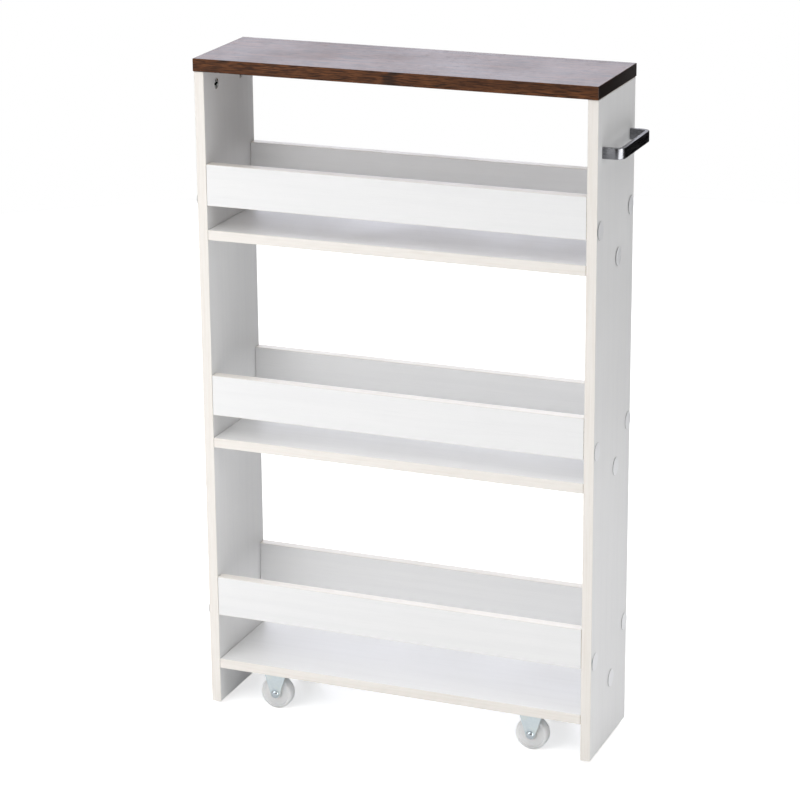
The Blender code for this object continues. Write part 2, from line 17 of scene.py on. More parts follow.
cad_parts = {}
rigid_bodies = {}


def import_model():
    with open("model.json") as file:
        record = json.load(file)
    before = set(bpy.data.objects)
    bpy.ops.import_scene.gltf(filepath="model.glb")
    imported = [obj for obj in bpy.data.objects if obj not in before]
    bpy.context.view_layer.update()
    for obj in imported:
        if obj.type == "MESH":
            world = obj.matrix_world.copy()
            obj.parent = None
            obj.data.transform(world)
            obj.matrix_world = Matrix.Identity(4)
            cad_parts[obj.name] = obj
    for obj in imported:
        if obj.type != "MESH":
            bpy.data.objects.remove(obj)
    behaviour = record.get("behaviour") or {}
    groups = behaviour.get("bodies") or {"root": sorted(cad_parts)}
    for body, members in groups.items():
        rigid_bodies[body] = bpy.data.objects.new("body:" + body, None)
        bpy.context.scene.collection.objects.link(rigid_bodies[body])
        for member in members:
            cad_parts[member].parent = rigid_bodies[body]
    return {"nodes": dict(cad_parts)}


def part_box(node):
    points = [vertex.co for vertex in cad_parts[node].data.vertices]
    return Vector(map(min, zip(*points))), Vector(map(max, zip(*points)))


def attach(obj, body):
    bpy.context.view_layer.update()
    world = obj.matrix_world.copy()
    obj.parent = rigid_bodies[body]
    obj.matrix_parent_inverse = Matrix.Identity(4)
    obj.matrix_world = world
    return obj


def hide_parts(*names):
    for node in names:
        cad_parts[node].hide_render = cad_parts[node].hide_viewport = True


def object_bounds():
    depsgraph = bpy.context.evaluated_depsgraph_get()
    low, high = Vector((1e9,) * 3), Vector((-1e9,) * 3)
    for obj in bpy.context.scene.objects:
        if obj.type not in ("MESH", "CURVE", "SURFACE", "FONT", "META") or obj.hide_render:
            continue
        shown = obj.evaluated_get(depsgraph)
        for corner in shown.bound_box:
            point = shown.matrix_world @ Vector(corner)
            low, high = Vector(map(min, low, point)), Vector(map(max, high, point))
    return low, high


MM = 0.001
X, Y, Z = Vector((1, 0, 0)), Vector((0, 1, 0)), Vector((0, 0, 1))

# Camera
LENS_MM = 128.0
SENSOR_MM = 36.0
CAMERA_FROM_CENTRE = Vector((1.148, -2.942, 1.030))
CAMERA_AZIMUTH = math.radians(23.166)
CAMERA_ELEVATION = math.radians(17.258)
CAMERA_ROLL = math.radians(-0.849)
CAMERA_SHIFT = (0.08, -0.05)

# Stage: a pale round floor whose shadows are lifted for the camera, and a sky with a faint
# glow all over and two bright patches, each a direction, the cosines from it at which the
# patch starts and is full, and its strength
FLOOR_RADIUS = 2.6
FLOOR_SIDES = 96
SHADOW_LIFT = 0.5
LOW_LIGHT = 0.03
OVERHEAD = (Z, 0.35, 1.0, 1.23)
BEHIND = (Vector((-0.38, 0.88, 0.30)), 0.84, 0.985, 3.2)
COOL_WHITE = (0.86, 0.88, 1.0)

# Softboxes: name, place from the cart's middle, side and power
SOFTBOXES = (
    ("high_softbox", Vector((-0.45, -1.30, 0.95)), 0.9, 6.1),
    ("front_softbox", Vector((-0.55, -1.45, 0.25)), 0.9, 4.6),
    ("left_softbox", Vector((-1.15, -1.10, 0.20)), 0.9, 3.7),
    ("right_softbox", Vector((1.30, -0.35, 0.42)), 0.5, 3.3),
    ("low_softbox", Vector((1.15, -0.95, -0.20)), 0.6, 1.1),
)

# Cards that only reflections show: name, place from the cart's middle, (width, height), glow
CARDS = (
    ("black_card", Vector((0.75, 0.95, 0.05)), (1.5, 0.9), 0.0),
    ("handle_card", Vector((0.16, 0.28, 0.365)), (0.26, 0.11), 0.55),
    ("white_card", Vector((1.34, -0.60, -0.08)), (1.3, 0.9), 5.5),
)

# Boards
BAND_THICKNESS = 0.45 * MM
GLUE_LINE = 0.12 * MM
CORE_DEPTH = 0.35 * MM

# Cam locks: a cross of four tapered arms, and an arrow, sunk in the face
CAM_SIDES = 48
CAM_CHAMFER = 0.5 * MM
CAM_ARM = ((-0.2 * MM, 1.6 * MM), (4.6 * MM, 1.1 * MM))
CAM_ARROW = ((3.2, -1.3), (6.0, -1.8), (6.9, 0), (6.0, 1.8), (3.2, 1.3))
CAM_CROSS_DEPTH = 2.1 * MM
CAM_ARROW_DEPTH = 1.6 * MM
CAM_TURN = math.radians(4)
CAM_ARROW_TURN = math.radians(135)
# Painted shade: the depths below the cam's face over which its recesses darken
RECESS_SHADE = (0.1 * MM, 0.5 * MM)

# Cover caps, stuck on by hand over the screws of each side panel. Those on the right stand a
# little off it at one side; the lowest covers no screw.
CAP_RADIUS = 10.7 * MM
CAP_THICKNESS = 0.3 * MM
CAP_ROUNDING = 0.6 * CAP_THICKNESS
CAP_CROWN = 1.06 * CAP_THICKNESS
CAP_GAP = 0.05 * MM
CAP_LIFT = {"upper": math.radians(2.2), "middle": math.radians(0.9), "bottom": math.radians(0.9)}
LEFT_CAP_LIFT = math.radians(0.1)
LOW_CAP_PLACE = (8 * MM, 80 * MM)
CAP_SIDES = 48

# Pull handle
HANDLE_BAR = 5 * MM
HANDLE_BEND = 10 * MM
HANDLE_EDGE = 0.7 * MM
HANDLE_EDGE_STEPS = 4
HANDLE_BEND_STEPS = 16
HANDLE_SCREW_BORE = 1.8 * MM
HANDLE_SCREW_DEPTH = 8.6 * MM
HANDLE_SCREW_SIDES = 24

# Casters
WHEEL_SIDES = 72
WHEEL_CROWN = 0.25 * MM
WHEEL_SHOULDER = 2.6 * MM
WHEEL_RIM = 3.7 * MM
WHEEL_RIM_EDGE = 0.5 * MM
WHEEL_RIM_FOOT = 1.2 * MM
WHEEL_RIM_DRAFT = 0.2 * MM
WHEEL_RECESS = 1.3 * MM
WHEEL_HUB_RADIUS = 6.6 * MM
WHEEL_HUB_PROUD = 0.5 * MM
WHEEL_HUB_EDGE = 0.4 * MM
WHEEL_HUB_FOOT = 0.8 * MM
WHEEL_BORE = 3.1 * MM
FORK_SHEET = 1.5 * MM
FORK_INSIDE = 8.4 * MM
FORK_TOP_WIDTH = 30.5 * MM
FORK_TIP_RADIUS = 5.5 * MM
FORK_EDGE = 0.35 * MM
PLATE_THICKNESS = 1.6 * MM
PLATE_CORNER = 4 * MM
PLATE_HOLE = Vector((18.5 * MM, 9.5 * MM))
PLATE_HOLE_RADIUS = 2.1 * MM
AXLE_RADIUS = 2.7 * MM
AXLE_HEAD_RADIUS = 4.9 * MM
AXLE_HEAD_HEIGHT = 2.9 * MM
AXLE_TAIL_RADIUS = 4.0 * MM
AXLE_TAIL_HEIGHT = 1.8 * MM
AXLE_HEAD_RIM = 0.5 * MM
AXLE_SIDES = 40
GAP = 0.3 * MM
CHEEK_SIDES = 20

# Screws of the caster plates, in millimetres as (radius, height) from the plate's face
SCREW_HEAD = ((0, -1.7), (1.3, -1.62), (2.4, -1.25), (2.95, -0.55), (3.0, 0), (1.25, 0))
SCREW_THREAD_START = 0.8
SCREW_PITCH = 0.9
SCREW_TURNS = 6
SCREW_CORE, SCREW_CREST = 1.05, 1.4
SCREW_TIP = ((1.0, 6.4), (0, 7.4))
SCREW_SLOT = (3.2, 0.6, 1.8)
SCREW_SIDES = 24

# Colours, two where a pattern runs between them
WHITE_FACE = ((0.815, 0.815, 0.815), (0.835, 0.833, 0.828))
WHITE_PORES = (0.765, 0.765, 0.76)
WHITE_WAVES = (0.785, 0.785, 0.785)
WHITE_GLUE = (0.50, 0.44, 0.36)
CREAM_BAND = ((0.85, 0.815, 0.772), (0.82, 0.785, 0.738))
CREAM_VEINS = (0.76, 0.705, 0.64)
CREAM_PORES = (0.74, 0.68, 0.61)
CHIPS = ((0.30, 0.19, 0.10), (0.62, 0.46, 0.28))
WALNUT_STREAKS = ((0.036, 0.0125, 0.0050), (0.132, 0.049, 0.0180))
WALNUT_PALE_FIBRES = (0.170, 0.062, 0.020)
WALNUT_DARK_FIBRES = (0.012, 0.004, 0.002)
WALNUT_BANDS = (0.034, 0.012, 0.005)
WALNUT_DRIFT = (0.088, 0.031, 0.011)
WALNUT_KNOTS = (0.016, 0.009, 0.006)
WALNUT_PORES = (0.012, 0.006, 0.004)
# Painted shade on the top's two end bands
WALNUT_END_SHADE = (0.003, 0.0015, 0.0015)
# Lighter edges: partly wear, partly a painted highlight
WALNUT_WEAR_HIGHLIGHT = (0.20, 0.10, 0.055)
NICKEL = ((0.135, 0.137, 0.146), (0.215, 0.217, 0.229))
MATT_ZINC = ((0.60, 0.68, 0.72), (0.74, 0.80, 0.82))
BRIGHT_ZINC = ((0.42, 0.47, 0.51), (0.58, 0.63, 0.67))
CAM_ZINC = ((0.70, 0.71, 0.72), (0.95, 0.95, 0.95))
ZINC_TINT = (0.80, 0.82, 0.72)
# Painted shade in sunk recesses
RECESS_SHADOW_TONE = (0.012, 0.012, 0.013)
NYLON = ((0.86, 0.835, 0.80), (0.945, 0.925, 0.895))
NYLON_SPECKS = (0.45, 0.43, 0.40)
NYLON_GLOW = (1.0, 0.95, 0.9)
NYLON_DEPTH = 40 * MM
CAP_FILM = ((0.835, 0.84, 0.85), (0.86, 0.865, 0.875))
# Painted shade on the caps' rims
CAP_RIM_SHADE = (0.10, 0.10, 0.10)
FLOOR_WHITE = ((0.90, 0.90, 0.90), (0.915, 0.915, 0.915))


# Camera, lights and floor


def add_camera(centre):
    """The camera, at its place from the cart's middle."""
    data = bpy.data.cameras.new("camera")
    data.lens = LENS_MM
    data.sensor_width = SENSOR_MM
    data.shift_x, data.shift_y = CAMERA_SHIFT
    camera = bpy.data.objects.new("camera", data)
    turn = Matrix.Rotation(CAMERA_AZIMUTH, 4, "Z")
    tilt = Matrix.Rotation(math.pi / 2 - CAMERA_ELEVATION, 4, "X")
    roll = Matrix.Rotation(CAMERA_ROLL, 4, "Z")
    camera.matrix_world = Matrix.Translation(centre + CAMERA_FROM_CENTRE) @ turn @ tilt @ roll
    bpy.context.scene.collection.objects.link(camera)
    bpy.context.scene.camera = camera


def add_softboxes(centre):
    """Square softboxes, each at its place from the cart's middle and facing it."""
    for name, offset, size, power in SOFTBOXES:
        data = bpy.data.lights.new(name, "AREA")
        data.size = size
        data.energy = power
        light = bpy.data.objects.new(name, data)
        light.matrix_world = towards(offset, centre + offset)
        light.visible_camera = False
        bpy.context.scene.collection.objects.link(light)


def add_cards(centre):
    """Upright cards, black or glowing, that shape the glints on metal and polished edges."""
    for name, offset, (width, height), glow in CARDS:
        bm = bmesh.new()
        bmesh.ops.create_grid(bm, x_segments=1, y_segments=1, size=0.5)
        facing = Vector((offset.x, offset.y, 0))
        bm.transform(Matrix.Diagonal((height, width, 1, 1)))
        bm.transform(Matrix.Rotation(math.pi / 2, 4, "Y"))
        bm.transform(Matrix.Rotation(math.atan2(facing.y, facing.x), 4, "Z"))
        graph = Graph(name, roughness=1.0)
        graph.paint(base_color=(0, 0, 0), specular_ior_level=0)
        graph.paint(emission_color=(1, 1, 1), emission_strength=glow)
        card = add_piece(name, mesh_of(bm, name), graph.material)
        card.location = centre + offset
        card.visible_camera = card.visible_diffuse = card.visible_shadow = False


def add_world():
    """A white backdrop to look at, lit softly from above and from behind."""
    world = bpy.data.worlds.new("studio")
    bpy.context.scene.world = world
    world.use_nodes = True
    graph = Nodes(world.node_tree)
    direction = graph.node("ShaderNodeTexCoord").outputs["Generated"]
    glows = []
    for middle, start, full, brightness in (OVERHEAD, BEHIND):
        nearness = graph.dot(direction, middle.normalized())
        glows.append(graph.fade(nearness, start, full, 0, brightness))
    lighting = graph.node("ShaderNodeBackground")
    strength = graph.maths("ADD", graph.maths("ADD", *glows), LOW_LIGHT)
    graph.put(lighting.inputs["Strength"], strength)
    cool = graph.maths("DIVIDE", glows[1], BEHIND[3])
    graph.put(lighting.inputs["Color"], graph.blend(cool, (1, 1, 1), COOL_WHITE))
    seen = graph.node("ShaderNodeBackground")
    seen.inputs["Color"].default_value = (1, 1, 1, 1)
    mix = graph.node("ShaderNodeMixShader")
    graph.put(mix.inputs["Fac"], graph.node("ShaderNodeLightPath").outputs["Is Camera Ray"])
    graph.put(mix.inputs[1], lighting.outputs["Background"])
    graph.put(mix.inputs[2], seen.outputs["Background"])
    output = world.node_tree.nodes["World Output"]
    graph.put(output.inputs["Surface"], mix.outputs["Shader"])


def add_floor():
    """A round floor at the foot of the cart, far wider than the cart."""
    bm = bmesh.new()
    bmesh.ops.create_circle(bm, cap_ends=True, segments=FLOOR_SIDES, radius=FLOOR_RADIUS)
    floor = add_piece("floor", mesh_of(bm, "floor"), floor_material())


# Materials


class Nodes:
    """Builds a node tree. Its methods take sockets or plain values and return sockets."""

    def __init__(self, tree):
        self.tree = tree

    def node(self, kind):
        return self.tree.nodes.new(kind)

    def put(self, socket, value):
        if isinstance(value, bpy.types.NodeSocket):
            self.tree.links.new(value, socket)
        else:
            socket.default_value = value

    def maths(self, operation, *values, clamp=False):
        node = self.node("ShaderNodeMath")
        node.operation = operation
        node.use_clamp = clamp
        for socket, value in zip(node.inputs, values):
            self.put(socket, value)
        return node.outputs["Value"]

    def vector(self, operation, *values):
        node = self.node("ShaderNodeVectorMath")
        node.operation = operation
        for socket, value in zip(node.inputs, values):
            self.put(socket, value)
        return node.outputs["Vector"]

    def dot(self, vector, direction):
        node = self.node("ShaderNodeVectorMath")
        node.operation = "DOT_PRODUCT"
        self.put(node.inputs[0], vector)
        node.inputs[1].default_value = direction
        return node.outputs["Value"]

    def axes(self, vector):
        node = self.node("ShaderNodeSeparateXYZ")
        self.put(node.inputs["Vector"], vector)
        return [node.outputs[axis] for axis in "XYZ"]

    def fade(self, value, low, high, to_low=0.0, to_high=1.0):
        """A smooth step of value from low to high, between to_low and to_high."""
        node = self.node("ShaderNodeMapRange")
        node.interpolation_type = "SMOOTHSTEP"
        self.put(node.inputs["Value"], value)
        for socket, number in zip(list(node.inputs)[1:5], (low, high, to_low, to_high)):
            socket.default_value = number
        return node.outputs["Result"]

    def blend(self, factor, first, second):
        node = self.node("ShaderNodeMix")
        node.data_type = "RGBA"
        colours = [s for s in node.inputs if s.type == "RGBA"]
        self.put(node.inputs[0], factor)
        for socket, colour in zip(colours, (first, second)):
            self.put(socket, colour if isinstance(colour, bpy.types.NodeSocket) else (*colour, 1.0))
        return next(s for s in node.outputs if s.type == "RGBA")


class Graph(Nodes):
    """One material, with a Principled shader and patterns placed in the frame's metres."""

    def __init__(self, name, roughness=0.5, metallic=0.0):
        self.material = bpy.data.materials.new(name)
        self.material.use_nodes = True
        super().__init__(self.material.node_tree)
        self.shader = self.tree.nodes["Principled BSDF"]
        self.shader.inputs["Roughness"].default_value = roughness
        self.shader.inputs["Metallic"].default_value = metallic
        coordinates = self.node("ShaderNodeTexCoord")
        self.place = coordinates.outputs["Object"]
        self.normal = coordinates.outputs["Normal"]

    def noise(self, per_metre, detail=2.0, roughness=0.5, distortion=0.0, place=None):
        """Noise from 0 to 1, with this many cells a metre along each axis."""
        node = self.node("ShaderNodeTexNoise")
        node.inputs["Scale"].default_value = 1.0
        node.inputs["Detail"].default_value = detail
        node.inputs["Roughness"].default_value = roughness
        node.inputs["Distortion"].default_value = distortion
        where = self.vector("MULTIPLY", place or self.place, per_metre)
        self.put(node.inputs["Vector"], where)
        return node.outputs["Fac"]

    def cells(self, per_metre):
        """A random tone from 0 to 1 for each cell of a mosaic this fine."""
        node = self.node("ShaderNodeTexVoronoi")
        node.inputs["Scale"].default_value = 1.0
        self.put(node.inputs["Vector"], self.vector("MULTIPLY", self.place, per_metre))
        return self.axes(node.outputs["Color"])[0]

    def bump(self, height, distance, strength):
        node = self.node("ShaderNodeBump")
        node.inputs["Distance"].default_value = distance
        node.inputs["Strength"].default_value = strength
        self.put(node.inputs["Height"], height)
        return node.outputs["Normal"]

    def paint(self, **sockets):
        """Sets the shader's sockets, such as base_color, to sockets or plain values."""
        for name, value in sockets.items():
            socket = self.shader.inputs[name.replace("_", " ").title().replace("Ior", "IOR")]
            if name.endswith("color") and not isinstance(value, bpy.types.NodeSocket):
                value = (*value, 1.0)
            self.put(socket, value)
        return self.material


def board_zones(graph, low, high, banded):
    """Masks on a board with these corners: its banded edges, their glue lines, its core.

    Each point's depth from the nearer face along every axis tells where it lies: near a
    banded edge, on the line beside it, on the outer edges, or inside a drilled hole. The
    depth from the nearest sharp edge and the facing along each axis come after the masks.
    """
    place, normal = graph.axes(graph.place), graph.axes(graph.normal)
    depths, facing = [], []
    for axis in range(3):
        from_low = graph.maths("SUBTRACT", place[axis], low[axis])
        to_high = graph.maths("SUBTRACT", high[axis], place[axis])
        depths.append(graph.maths("MINIMUM", from_low, to_high))
        facing.append(graph.maths("ABSOLUTE", normal[axis]))
    band = 0.0
    glue = 0.0
    for axis in banded:
        depth = depths[axis]
        band = graph.maths("MAXIMUM", band, graph.maths("LESS_THAN", depth, BAND_THICKNESS))
        line = graph.maths("COMPARE", depth, BAND_THICKNESS + GLUE_LINE / 2, GLUE_LINE / 2)
        glue = graph.maths("MAXIMUM", glue, line)
    least = graph.maths("MINIMUM", graph.maths("MINIMUM", *depths[:2]), depths[2])
    core = graph.maths("GREATER_THAN", least, CORE_DEPTH)
    for axis in range(3):
        if axis not in banded and axis != thin_axis(low, high):
            core = graph.maths("MAXIMUM", core, graph.maths("GREATER_THAN", facing[axis], 0.9))
    pair_low, pair_high = graph.maths("MINIMUM", *depths[:2]), graph.maths("MAXIMUM", *depths[:2])
    to_edge = graph.maths("MAXIMUM", pair_low, graph.maths("MINIMUM", pair_high, depths[2]))
    return band, glue, core, to_edge, facing


def thin_axis(low, high):
    return min(range(3), key=lambda axis: high[axis] - low[axis])


def along(axis, fine, coarse):
    """Noise cells a metre for a grain that runs along an axis."""
    return [coarse if i == axis else fine for i in range(3)]


def chipboard(graph):
    """The colour of the boards' particle core: pale and dark chips pressed together."""
    return graph.blend(graph.cells((900, 900, 900)), *CHIPS)


def white_laminate(name, low, high, grain, banded):
    """White melamine with a faint pressed grain, and cream plastic bands on some edges."""
    graph = Graph(name, roughness=0.42)
    band, glue, core, *_ = board_zones(graph, low, high, banded)
    pores = graph.noise(along(grain, 950, 26), detail=3, roughness=0.65)
    waves = graph.noise(along(grain, 120, 5), detail=2)
    veins = graph.noise(along(grain, 420, 11), detail=3, roughness=0.6)
    clouds = graph.noise((6, 6, 6), detail=3)
    pearl = graph.noise((1500, 1500, 1500), detail=1)

    pressed = graph.fade(pores, 0.52, 0.72)
    in_pores = graph.maths("MULTIPLY", pressed, 0.35)
    face = graph.blend(clouds, *WHITE_FACE)
    face = graph.blend(in_pores, face, WHITE_PORES)
    face = graph.blend(graph.fade(waves, 0.38, 0.72, 0, 0.45), face, WHITE_WAVES)
    edge = graph.blend(waves, *CREAM_BAND)
    edge = graph.blend(graph.fade(veins, 0.45, 0.7, 0, 0.35), edge, CREAM_VEINS)
    edge = graph.blend(in_pores, edge, CREAM_PORES)
    colour = graph.blend(band, face, edge)
    colour = graph.blend(graph.maths("MULTIPLY", glue, 0.55), colour, WHITE_GLUE)
    colour = graph.blend(core, colour, chipboard(graph))

    smudges = graph.noise((14, 14, 14), detail=4, roughness=0.6)
    gloss = graph.fade(smudges, 0.3, 0.7, 0.36, 0.47)
    gloss = graph.maths("ADD", gloss, graph.maths("MULTIPLY", pressed, 0.06))
    gloss = graph.maths("ADD", gloss, graph.maths("MULTIPLY", core, 0.45), clamp=True)

    pearly = graph.maths("MULTIPLY", pearl, 0.35)
    relief = graph.maths("ADD", graph.maths("MULTIPLY", pressed, -1.0), pearly)
    normal = graph.bump(relief, 0.03 * MM, 0.6)
    return graph.paint(base_color=colour, roughness=gloss, normal=normal, specular_ior_level=0.15)


def walnut_laminate(name, low, high):
    """Dark rustic walnut: long fibres, cathedral streaks, saw shadows and open pores."""
    graph = Graph(name, roughness=0.4)
    _, glue, core, to_edge, facing = board_zones(graph, low, high, (0, 1))
    on_end = graph.fade(facing[0], 0.6, 0.8)

    def grain_place(place):
        """The place with its grain turned along Y on the two short end bands."""
        x, y, z = graph.axes(place)
        swap = graph.node("ShaderNodeMix")
        swap.data_type = "VECTOR"
        turned = graph.node("ShaderNodeCombineXYZ")
        for socket, value in zip(turned.inputs, (y, x, z)):
            graph.put(socket, value)
        graph.put(swap.inputs[0], on_end)
        along_x, along_y = [s for s in swap.inputs if s.type == "VECTOR"][-2:]
        graph.put(along_x, place)
        graph.put(along_y, turned.outputs["Vector"])
        return next(s for s in swap.outputs if s.type == "VECTOR")

    place = grain_place(graph.place)
    drift = graph.noise((4, 16, 16), detail=2, place=place)
    fibres = graph.noise((60, 1250, 1250), detail=2, roughness=0.6, place=place)
    on_top = graph.fade(facing[2], 0.6, 0.8)
    short_streaks = graph.noise((45, 900, 900), detail=2, roughness=0.5, place=place)
    long_streaks = graph.noise(
        (7, 260, 260), detail=5, roughness=0.62, distortion=0.1, place=place
    )
    streaks = graph.blend(on_top, short_streaks, long_streaks)
    bands = graph.noise((2.6, 60, 60), detail=3, roughness=0.55, distortion=0.3, place=place)
    knots = graph.noise((22, 55, 55), detail=2, distortion=0.6, place=place)
    pores = graph.noise((75, 1900, 1900), detail=2, roughness=0.5, place=place)

    streaked = graph.fade(streaks, 0.36, 0.64)
    tone = graph.blend(streaked, *WALNUT_STREAKS)
    tone = graph.blend(graph.fade(fibres, 0.50, 0.66, 0, 0.7), tone, WALNUT_PALE_FIBRES)
    tone = graph.blend(graph.fade(fibres, 0.34, 0.48, 0.8, 0), tone, WALNUT_DARK_FIBRES)
    tone = graph.blend(graph.fade(bands, 0.48, 0.64, 0, 0.35), tone, WALNUT_BANDS)
    tone = graph.blend(graph.fade(drift, 0.40, 0.75, 0, 0.3), tone, WALNUT_DRIFT)
    tone = graph.blend(graph.fade(knots, 0.60, 0.72, 0, 0.7), tone, WALNUT_KNOTS)
    open_pores = graph.fade(pores, 0.60, 0.70)
    tone = graph.blend(graph.maths("MULTIPLY", open_pores, 0.7), tone, WALNUT_PORES)
    # Painted shade: both end bands darken to nearly black
    tone = graph.blend(graph.maths("MULTIPLY", on_end, 0.94), tone, WALNUT_END_SHADE)
    # Lighter rubbed patches along the edges: partly wear, partly a painted highlight on the eased
    # edges
    near_edge = graph.fade(to_edge, 0.15 * MM, 0.8 * MM, 1.0, 0.0)
    rubbed_and_lit = graph.maths("MULTIPLY", near_edge, graph.fade(graph.noise((260, 260, 260), 3), 0.40, 0.65))
    tone = graph.blend(graph.maths("MULTIPLY", rubbed_and_lit, 0.45), tone, WALNUT_WEAR_HIGHLIGHT)
    tone = graph.blend(graph.maths("MULTIPLY", glue, 0.6), tone, WALNUT_PORES)
    tone = graph.blend(core, tone, chipboard(graph))

    smudges = graph.noise((9, 9, 9), detail=4, roughness=0.6)
    gloss = graph.fade(smudges, 0.3, 0.7, 0.31, 0.39)
    gloss = graph.maths("ADD", gloss, graph.maths("MULTIPLY", open_pores, 0.22), clamp=True)
    relief = graph.maths("SUBTRACT", graph.maths("MULTIPLY", fibres, 0.5), open_pores)
    normal = graph.bump(relief, 0.04 * MM, 0.6)
    return graph.paint(base_color=tone, roughness=gloss, normal=normal, specular_ior_level=0.1)


def satin_nickel():
    """Brushed and plated bar: fine level scratches all the way round the handle."""
    graph = Graph("satin_nickel", roughness=0.3, metallic=1.0)
    brushed = graph.noise((22, 22, 2600), detail=4, roughness=0.7)
    cloudy = graph.noise((60, 60, 160), detail=3)
    colour = graph.blend(brushed, *NICKEL)
    gloss = graph.fade(brushed, 0.3, 0.7, 0.20, 0.33)
    gloss = graph.maths("ADD", gloss, graph.fade(cloudy, 0.4, 0.7, 0.0, 0.06))
    normal = graph.bump(brushed, 0.012 * MM, 0.5)
    return graph.paint(base_color=colour, roughness=gloss, normal=normal)


def zinc_plate(name, dark, light, roughness, face=None, metallic=1.0):
    """Blue-white zinc plating with a soft crystal mottle, and painted shade that darkens the
    recesses of a face.

    The face is the axis that it looks along and its place on that axis.
    """
    graph = Graph(name, metallic=metallic)
    mottle = graph.noise((420, 420, 420), detail=4, roughness=0.6)
    spangle = graph.cells((700, 700, 700))
    tint = graph.noise((90, 90, 90), detail=2)
    colour = graph.blend(mottle, dark, light)
    colour = graph.blend(graph.fade(tint, 0.45, 0.75, 0, 0.35), colour, ZINC_TINT)
    if face:
        # Painted shade: points sunk below the face darken to near black
        depth = graph.maths("SUBTRACT", graph.axes(graph.place)[face[0]], face[1])
        depth = graph.maths("ABSOLUTE", depth)
        colour = graph.blend(graph.fade(depth, *RECESS_SHADE), colour, RECESS_SHADOW_TONE)
    gloss = graph.fade(spangle, 0, 1, roughness - 0.05, roughness + 0.07)
    normal = graph.bump(mottle, 0.02 * MM, 0.5)
    return graph.paint(base_color=colour, roughness=gloss, normal=normal)


def nylon():
    """Milky moulded nylon: soft light inside it, faint flow marks and fine specks all over."""
    graph = Graph("nylon", roughness=0.35)
    cloudy = graph.noise((160, 160, 160), detail=3)
    specks = graph.noise((1800, 1800, 1800), detail=1)
    colour = graph.blend(cloudy, *NYLON)
    colour = graph.blend(graph.fade(specks, 0.68, 0.76, 0, 0.35), colour, NYLON_SPECKS)
    gloss = graph.fade(cloudy, 0.3, 0.7, 0.28, 0.42)
    normal = graph.bump(specks, 0.015 * MM, 0.6)
    graph.shader.inputs["Subsurface Radius"].default_value = NYLON_GLOW
    graph.shader.inputs["Subsurface Scale"].default_value = NYLON_DEPTH
    return graph.paint(base_color=colour, roughness=gloss, normal=normal, subsurface_weight=1.0)


def cap_film():
    """White adhesive film with a fine pressed texture, and its rim painted dark grey as the shade
    along its edge.
    """
    graph = Graph("cap_film", roughness=0.38)
    upright = graph.fade(graph.maths("ABSOLUTE", graph.axes(graph.normal)[2]), 0.35, 0.75)
    texture = graph.noise((1400, 1400, 1400), detail=2)
    clouds = graph.noise((120, 120, 120), detail=2)
    colour = graph.blend(clouds, *CAP_FILM)
    # Painted shade: the sideways-facing rim turns dark grey
    colour = graph.blend(upright, CAP_RIM_SHADE, colour)
    gloss = graph.fade(clouds, 0.3, 0.7, 0.30, 0.40)
    normal = graph.bump(texture, 0.02 * MM, 0.5)
    return graph.paint(base_color=colour, roughness=gloss, normal=normal)


def floor_material():
    graph = Graph("floor", roughness=0.8)
    clouds = graph.noise((0.8, 0.8, 0.8), detail=3)
    colour = graph.blend(clouds, *FLOOR_WHITE)
    seen = graph.node("ShaderNodeLightPath").outputs["Is Camera Ray"]
    lift = graph.maths("MULTIPLY", seen, SHADOW_LIFT)
    return graph.paint(base_color=colour, emission_color=(1, 1, 1), emission_strength=lift)


# Mesh tools


def mesh_of(bm, name):
    mesh = bpy.data.meshes.new(name)
    bm.to_mesh(mesh)
    bm.free()
    return mesh


def add_piece(name, mesh, material):
    if not mesh.materials:
        mesh.materials.append(material)
    piece = bpy.data.objects.new(name, mesh)
    bpy.context.scene.collection.objects.link(piece)
    return piece


def towards(direction, origin=(0, 0, 0)):
    """The matrix that turns +Z to this direction and moves the origin to this place."""
    return Matrix.Translation(origin) @ Z.rotation_difference(direction).to_matrix().to_4x4()


def arc(centre, radius, start, end, steps):
    """Points on an arc in a plane, its angles in degrees."""
    turns = [math.radians(start + (end - start) * step / steps) for step in range(steps + 1)]
    return [(centre[0] + radius * math.cos(t), centre[1] + radius * math.sin(t)) for t in turns]


def turned(outline, sides, closed=False, matrix=None):
    """A solid of revolution about Z of (radius, height) points, from axis to axis.

    A closed outline goes round a bore instead.
    """
    bm = bmesh.new()
    points = [bm.verts.new((radius, 0, height)) for radius, height in outline]
    following = points[1:] + points[:1] if closed else points[1:]
    edges = [bm.edges.new(pair) for pair in zip(points, following)]
    bmesh.ops.spin(
        bm, geom=points + edges, axis=Z, cent=(0, 0, 0), angle=math.tau, steps=sides, use_merge=True
    )
    bmesh.ops.remove_doubles(bm, verts=bm.verts, dist=0.001 * MM)
    bmesh.ops.recalc_face_normals(bm, faces=bm.faces)
    if matrix:
        bm.transform(matrix)
    return bm


def prism(outline, thickness, matrix=None):
    """A flat outline in XY, given thickness along +Z."""
    bm = bmesh.new()
    face = bm.faces.new([bm.verts.new((u, v, 0)) for u, v in outline])
    raised = bmesh.ops.extrude_face_region(bm, geom=[face])["geom"]
    tops = [item for item in raised if isinstance(item, bmesh.types.BMVert)]
    bmesh.ops.translate(bm, verts=tops, vec=(0, 0, thickness))
    bmesh.ops.recalc_face_normals(bm, faces=bm.faces)
    if matrix:
        bm.transform(matrix)
    return bm


def drill(radius, low, high, sides, matrix):
    """A Boolean step that bores a round hole along Z, from one height to another."""
    outline = [(0, low), (radius, low), (radius, high), (0, high)]
    return "DIFFERENCE", turned(outline, sides, matrix=matrix)


def rounded_rectangle(width, height, radius, steps):
    """Points round a rectangle about the origin, its corners rounded."""
    corner_u, corner_v = width / 2 - radius, height / 2 - radius
    points = []
    for start, i, j in ((0, 1, 1), (90, -1, 1), (180, -1, -1), (270, 1, -1)):
        points += arc((i * corner_u, j * corner_v), radius, start, start + 90, steps)
    return points


def smooth(mesh, degrees=32):
    mesh.shade_smooth()
    mesh.set_sharp_from_angle(angle=math.radians(degrees))


